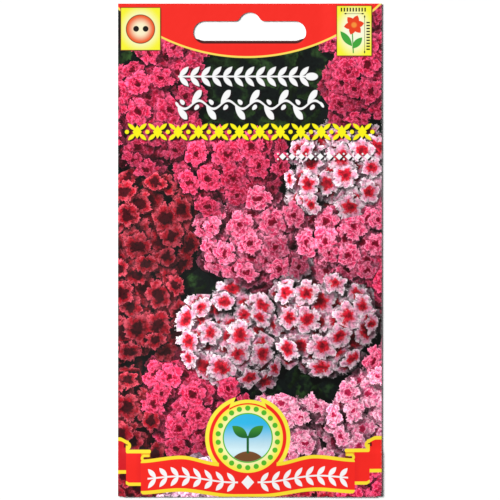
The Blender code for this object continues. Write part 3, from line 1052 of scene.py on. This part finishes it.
def back_print(ink, place):
    """The whole back, with its own left and right as seen from behind."""
    x, y, _ = ink.parts(place)
    x = x - 1000 * back_middle
    frame_line = abs(rounded(x, y, *FRAME, 3.0)) - 0.35
    ink.colour = BACK_WHITE
    ink.lay(FRAME_GREEN, frame_line)
    sowing_picture(ink, x, y)
    month = x.repeated(MONTH_PITCH, 0.5)
    squares = rounded(month, y, -2.1, 2.1, -2.0, 3.0, 0.5).most(abs(x) - 30.0)
    spring = ink.mix((abs(x + 12.5) - 7.5).soft(0.05, -0.05), PANEL_PALE, STEM_GREEN)
    summer = ink.mix((abs(x - 7.5) - 7.5).soft(0.05, -0.05), spring, BADGE_YELLOW)
    ink.lay(RULE_GREY, squares - 0.15)
    ink.lay(summer, squares)
    in_row = y.repeated(RULE_PITCH, 0.5)
    rules = (abs(in_row) - 0.32).most(-30.0 - x).most(abs(y + 20.4) - 13.6)
    ink.lay(RULE_GREY, rules.most(x - 27.0 - ((y - in_row) * 2.3).sin() * 2.5))
    ink.lay(RULE_GREY, abs(rounded(x, y, *PLATE, 1.0)) - 0.12)
    arched(ink, x, y)


# The printed paper
# Three finishes on the one sheet: glossy print on the front with its flaps, glossy print on the back, and
# bare white paper inside and along every cut edge. The ink is worn off in specks along the creases.
BLEED = 1.2
BOTTOM_ARC = 0.9  # about what the bottom fold takes of the sheet
BARE_WHITE = ink_colour(243, 242, 238)


def sheet_place(ink):
    """The flat sheet's own coordinates, in millimetres."""
    place = ink.add("UVMap", {"uv_map": "flat sheet"}, {})[0]
    return ink.add("Mapping", {"vector_type": "POINT"}, {"Vector": place, "Scale": (1000.0, 1000.0, 1.0)})[0]


def glossy(ink, place, colour):
    """Coated paper: a faint waviness under a clear gloss, with the ink cracked off along the creases."""
    x, y, _ = ink.parts(place)
    crack, _ = ink.noise(place, 2.6, 4.0, 0.7)
    wave, _ = ink.noise(place, 0.16, 3.0, 0.55)
    tooth, _ = ink.noise(place, 5.0, 2.0, 0.6)
    side = abs(abs(x) - 1000 * half_width)
    foot = abs(y + 1000 * half_height)
    worn = side.least(foot).soft(0.42, 0.02) * crack.soft(0.52, 0.66)
    colour = ink.mix(worn * 0.8, colour, BARE_WHITE)
    relief = wave * 0.12 + tooth * 0.006
    normal = ink.bump(relief, 0.6, 0.001)
    sockets = {"Base Color": colour, "Roughness": 0.3 + worn * 0.4 + tooth * 0.06}
    gloss = {"Specular IOR Level": 0.3, "Coat Weight": 0.1, "Coat Roughness": 0.16}
    return ink.finish({**sockets, **gloss}, normal)


def front_skin():
    """The front's print, running a little way onto the flaps, which are white beyond it."""
    ink = new_ink("glossy front print")
    place = sheet_place(ink)
    front_print(ink, place)
    x, y, _ = ink.parts(place)
    past = (x - 1000 * (crease + round_fold) - BLEED).most(-1000 * half_height - BOTTOM_ARC - BLEED - y)
    return glossy(ink, place, ink.mix(past.soft(-0.1, 0.1), ink.colour, BACK_WHITE))


def back_skin():
    """The back's print."""
    ink = new_ink("glossy back print")
    place = sheet_place(ink)
    back_print(ink, place)
    return glossy(ink, place, ink.colour)


def bare_skin():
    """Uncoated paper with short fibres and a faint cloudiness."""
    ink = new_ink("bare white paper")
    place = sheet_place(ink)
    cloud, _ = ink.noise(place, 0.5, 3.0)
    fibre, _ = ink.noise(place, 9.0, 3.0, 0.7)
    colour = ink.mix(cloud * 0.5 + fibre * 0.3, BARE_WHITE, ink_colour(226, 224, 216))
    normal = ink.bump(fibre, 0.25, 0.0002)
    return ink.finish({"Base Color": colour, "Roughness": 0.78 + fibre * 0.12}, normal)


for skin in (front_skin(), bare_skin(), back_skin()):
    envelope.data.materials.append(skin)


# The glue
# Three thin lines of paper glue hold the side seam, the bottom seam and the top seal. They dried clear and
# slightly yellow, thicker and glossier in streaks along the way the glue wheel rolled.
STREAKS = (900.0, 260.0, 900.0)


def own_place(ink):
    """Where a point of the piece is, in metres."""
    return next(value for value in ink.add("TexCoord", {}, {}) if value.socket.name == "Object")


def dried_glue():
    """A pale yellow with streaks along the glue line."""
    ink = new_ink("dried paper glue")
    sockets = {"Vector": own_place(ink), "Scale": STREAKS}
    stretched = ink.add("Mapping", {"vector_type": "POINT"}, sockets)[0]
    streak, _ = ink.noise(stretched, 1.0, 3.0, 0.6)
    colour = ink.mix(streak, ink_colour(222, 212, 176), ink_colour(244, 238, 216))
    normal = ink.bump(streak, 0.4, 0.00004)
    return ink.finish({"Base Color": colour, "Roughness": 0.28 + streak * 0.3}, normal)


glue = dried_glue()
for line in ("side_seam_glue", "bottom_seam_glue", "top_seal_glue"):
    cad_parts[line].material_slots[0].material = glue


# The seeds
# About seventy flat black seeds lie loose in the bottom of the pocket. Each is an oval with a thin rim and
# a hollow in its face, and its coat is rough with small warts.
SEED_LENGTH = 0.0023
SEED_BREADTH = 0.0019
SEED_THICKNESS = 0.00055
SEED_PITCH = 0.0020
SEED_JITTER = 0.0001
SEED_TILT = math.radians(5)
SEED_STEP = 0.00035  # each seed lies this much above or below its neighbours
HEAP_LENGTH = 0.0270
HEAP_BREADTH = 0.0120
HEAP_ABOVE_BOTTOM = 0.0215
SEED_FLOOR = PAPER + 0.0006
SEED_ROUND = 20
SEED_RINGS = 9
HEAP_DRAW = 5  # where the draws of chance start


def seed_shape():
    """Points and squares of one seed about its own middle.

    The radius runs from the upper face's middle out to the rim and back under it as a sine of the ring's
    turn. The height is the cosine, thinned to the power 1.5 of the distance out, less a dip at the middle."""
    turn = np.linspace(0.06, np.pi - 0.06, SEED_RINGS)[:, None]
    around = np.linspace(0, 2 * np.pi, SEED_ROUND, endpoint=False)[None, :]
    out = np.sin(turn) * (1 + 0.06 * np.cos(2 * around) + 0.05 * np.cos(3 * around + 1))
    x = out * np.cos(around) * SEED_LENGTH / 2
    y = out * np.sin(around) * SEED_BREADTH / 2
    thick = np.cos(turn) * (1 - 0.35 * np.exp(-((out / 0.4) ** 2)))
    z = thick * SEED_THICKNESS / 2
    points = np.stack([x, y, np.broadcast_to(z, x.shape)], axis=-1).reshape(-1, 3)
    ring, step = np.mgrid[0 : SEED_RINGS - 1, 0:SEED_ROUND]
    after = (step + 1) % SEED_ROUND
    corners = [(ring + 1, step), (ring + 1, after), (ring, after), (ring, step)]
    squares = np.stack([a * SEED_ROUND + b for a, b in corners], axis=-1).reshape(-1, 4)
    caps = [list(range(SEED_ROUND)), list(range(len(points) - 1, len(points) - SEED_ROUND - 1, -1))]
    return points, squares, caps


def heap_places():
    """The seeds' places and turns, from the same net and the same draws as the solid's."""
    chance = random.Random(HEAP_DRAW)
    row_pitch = SEED_PITCH * math.sqrt(3) / 2
    rows = int(HEAP_BREADTH / 2 / row_pitch)
    seats = int(HEAP_LENGTH / 2 / SEED_PITCH) + 1
    places = []
    for row in range(-rows, rows + 1):
        for seat in range(-seats, seats + 1):
            x = (seat + 0.5 * (row % 2)) * SEED_PITCH
            y = row * row_pitch
            if math.hypot(2 * x / HEAP_LENGTH, 2 * y / HEAP_BREADTH) <= 1:
                x += chance.uniform(-SEED_JITTER, SEED_JITTER)
                y += chance.uniform(-SEED_JITTER, SEED_JITTER)
                tilt_x = chance.uniform(-SEED_TILT, SEED_TILT)
                tilt_y = chance.uniform(-SEED_TILT, SEED_TILT)
                spin = chance.uniform(0, math.pi)
                level = (seat + row // 2 * 2 + row % 2 * 2) % 3
                z = SEED_FLOOR + level * SEED_STEP
                places.append((x, y - half_height + HEAP_ABOVE_BOTTOM, z, tilt_x, tilt_y, spin))
    return np.array(places)


def seed_heap(name):
    """All the seeds in one mesh: one shape turned about z, tilted, and carried to every place at once."""
    points, squares, caps = seed_shape()
    places = heap_places()
    spin = places[:, 5, None]
    x = points[:, 0] * np.cos(spin) - points[:, 1] * np.sin(spin)
    y = points[:, 0] * np.sin(spin) + points[:, 1] * np.cos(spin)
    z = points[:, 2] + y * np.sin(places[:, 3, None]) - x * np.sin(places[:, 4, None])
    spots = np.stack([x, y, z], axis=-1) + places[:, None, :3]
    first = np.arange(len(places))[:, None, None] * len(points)
    faces = (squares + first).reshape(-1, 4).tolist()
    faces += (np.array(caps) + first).reshape(-1, SEED_ROUND).tolist()
    mesh = bpy.data.meshes.new(name)
    mesh.from_pydata(spots.reshape(-1, 3), [], faces)
    mesh.polygons.foreach_set("use_smooth", np.ones(len(faces), dtype=bool))
    return placed(name, mesh)


def seed_coat():
    """Near black, browner between the warts, which are rows of small bumps."""
    ink = new_ink("warty black seed coat")
    place = own_place(ink)
    warts = ink.add("TexVoronoi", {}, {"Vector": place, "Scale": 7000.0, "Randomness": 0.7})[0]
    patches = ink.add("TexNoise", {}, {"Vector": place, "Scale": 900.0, "Detail": 3.0})[0]
    colour = ink.mix(warts.soft(0.3, 0.7) * patches, ink_colour(30, 26, 26), ink_colour(74, 52, 38))
    normal = ink.bump(1 - warts, 0.7, 0.00005)
    return ink.finish({"Base Color": colour, "Roughness": 0.5 + patches * 0.3}, normal)


seeds = seed_heap("loose_seeds")
seeds.data.materials.append(seed_coat())
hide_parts("seeds")
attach(seeds, "root")


# The table, the light and the camera
# The packet lies flat on a white table. A soft lamp from the left and slightly above gives the thin
# shadows along its right and lower edges, and the camera looks straight down.
TABLE = 8.0
TABLE_TOP = -0.00002
VIEW_WIDE = 0.14186  # what the picture's 500 pixels span on the packet
LENS = 200.0
FILM = 36.0
VIEW_SHIFT = (0.0001, 0.0001)
LAMP_FROM = 148.0
LAMP_HEIGHT = 42.0
LAMP_STRENGTH = 5.12
LAMP_SPREAD = 30.0
ROOM_LIGHT = 0.13


def table_top():
    """A matt white table with a faint grain."""
    mesh = bpy.data.meshes.new("table")
    half = TABLE / 2
    corners = [(x, y, TABLE_TOP) for x, y in ((-half, -half), (half, -half), (half, half), (-half, half))]
    mesh.from_pydata(corners, [], [(0, 1, 2, 3)])
    ink = new_ink("matt white table")
    place = own_place(ink)
    grain = ink.add("TexNoise", {}, {"Vector": place, "Scale": 60.0, "Detail": 3.0})[0]
    colour = ink.mix(grain * 0.3, (0.85, 0.85, 0.85, 1.0), (0.81, 0.81, 0.81, 1.0))
    mesh.materials.append(ink.finish({"Base Color": colour, "Roughness": 0.9}))
    return placed("table", mesh)


table_top()

sun = bpy.data.lights.new("soft lamp", "SUN")
sun.energy = LAMP_STRENGTH
sun.angle = math.radians(LAMP_SPREAD)
lamp = placed("soft lamp", sun)
lamp.rotation_euler = (0.0, math.radians(90 - LAMP_HEIGHT), math.radians(LAMP_FROM))

world = bpy.data.worlds.new("studio")
world.use_nodes = True
background = world.node_tree.nodes["Background"]
background.inputs["Color"].default_value = (1.0, 1.0, 1.0, 1.0)
background.inputs["Strength"].default_value = ROOM_LIGHT
bpy.context.scene.world = world

lens = bpy.data.cameras.new("camera")
lens.lens = LENS
lens.sensor_width = FILM
lens.clip_start = 0.01
lens.clip_end = 20.0
camera = placed("camera", lens)
camera.location = (*VIEW_SHIFT, VIEW_WIDE * LENS / FILM)
bpy.context.scene.camera = camera
bpy.context.scene.view_settings.view_transform = "Standard"
